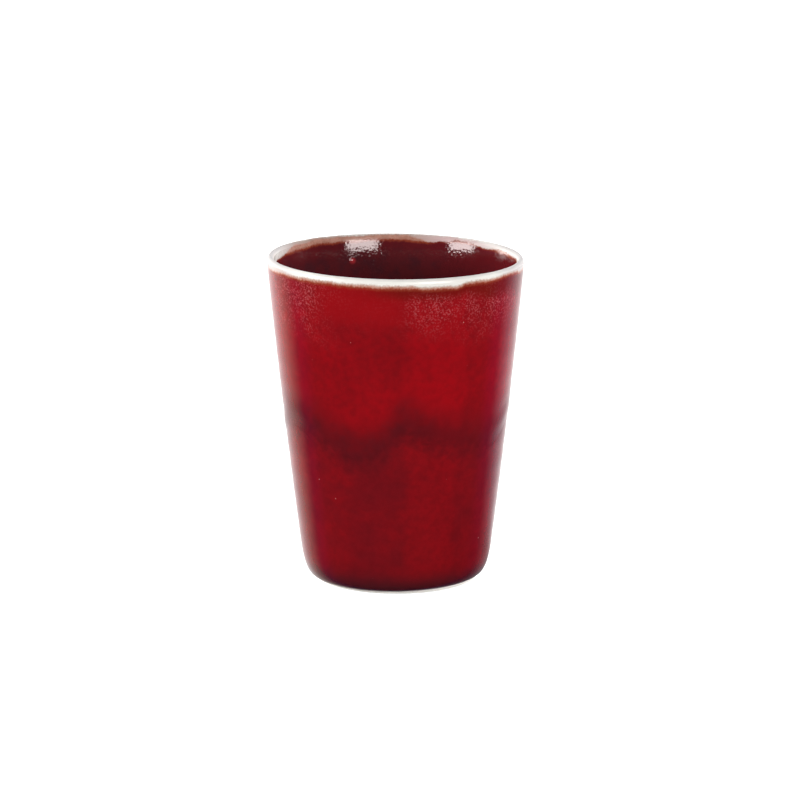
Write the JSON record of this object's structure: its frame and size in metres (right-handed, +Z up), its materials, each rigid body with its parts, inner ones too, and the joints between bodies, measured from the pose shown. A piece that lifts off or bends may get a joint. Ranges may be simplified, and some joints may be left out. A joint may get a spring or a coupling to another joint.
{
  "type": "ceramic tumbler",
  "caption": "Handleless flared ceramic tumbler for drinks, with a red dipped glaze, a darker wavy lap band, a pale rounded lip and a bare turned foot.",
  "frame": {"origin": "on the table, under the middle of the foot ring", "axes": "+Z up along the axis the tumbler was thrown on; -Y is the side the picture shows"},
  "size_m": [0.0786, 0.0786, 0.1],
  "materials": {
    "clay": "bare fired stoneware, turned smooth on the foot",
    "lower_red_glaze": "gloss dark red glaze",
    "upper_red_glaze": "gloss red glaze, mottled and pinholed towards the lip",
    "pale_lip_glaze": "gloss, broken to off-white and tan over the edge",
    "liner_glaze": "gloss dark maroon liner"
  },
  "bodies": {
    "root": {"clay_body": "clay", "lower_glaze": "lower_red_glaze", "upper_glaze": "upper_red_glaze", "lip_glaze": "pale_lip_glaze", "inner_glaze": "liner_glaze"}
  },
  "joints": []
}
